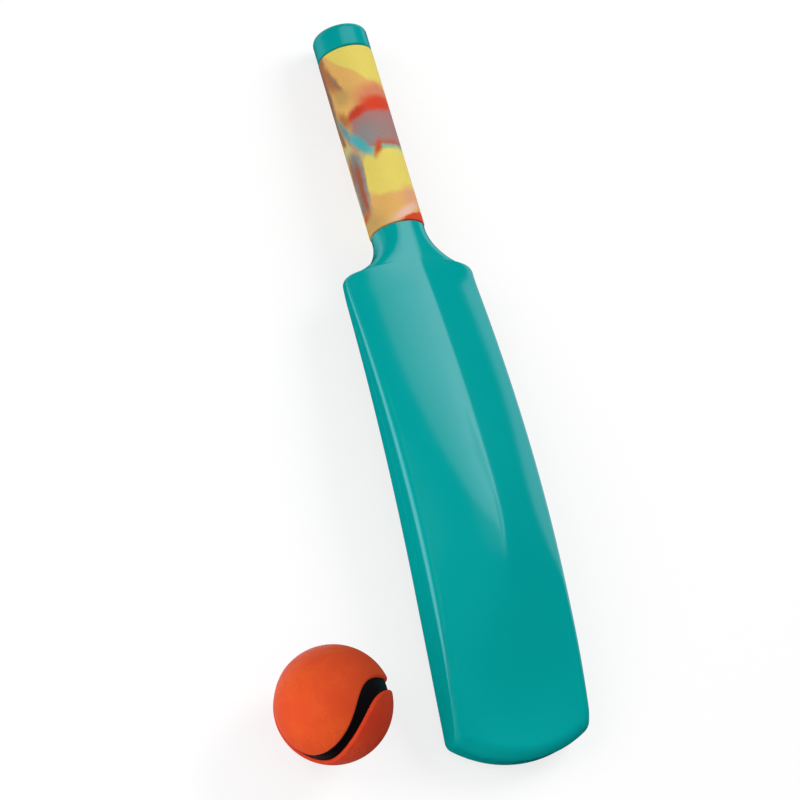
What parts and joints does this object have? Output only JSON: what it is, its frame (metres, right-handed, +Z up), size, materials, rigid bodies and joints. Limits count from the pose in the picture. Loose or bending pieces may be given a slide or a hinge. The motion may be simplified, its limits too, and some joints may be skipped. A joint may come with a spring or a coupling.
{
  "type": "water bat and ball set",
  "caption": "Hollow moulded play bat with a bowed spined blade, a soft round grip sleeve and an end cap, lying beside a soft ball whose two covers are parted by a swinging groove.",
  "frame": {"origin": "on the floor under the middle of the set's box, with the bat lying on its hitting face and the ball beside its toe", "axes": "+Z up from the floor, +Y from the toe towards the handle's cap, +X across the blade away from the ball"},
  "size_m": [0.1754, 0.4151, 0.06],
  "materials": {
    "bat_plastic": "gloss",
    "foam": "matte",
    "grip_rubber": "satin",
    "core_rubber": "satin",
    "cover_rubber": "satin"
  },
  "bodies": {
    "bat": {"face_shell": "bat_plastic", "back_shell": "bat_plastic", "float_core": "foam", "grip_sleeve": "grip_rubber", "end_cap": "bat_plastic"},
    "ball": {"ball_core": "core_rubber", "ball_cover_a": "cover_rubber", "ball_cover_b": "cover_rubber"}
  },
  "joints": [
    {"name": "ball_lift", "type": "slide", "parent": "bat", "child": "ball", "axis": [0, 0, 1], "range_m": [0, 0.15]}
  ]
}
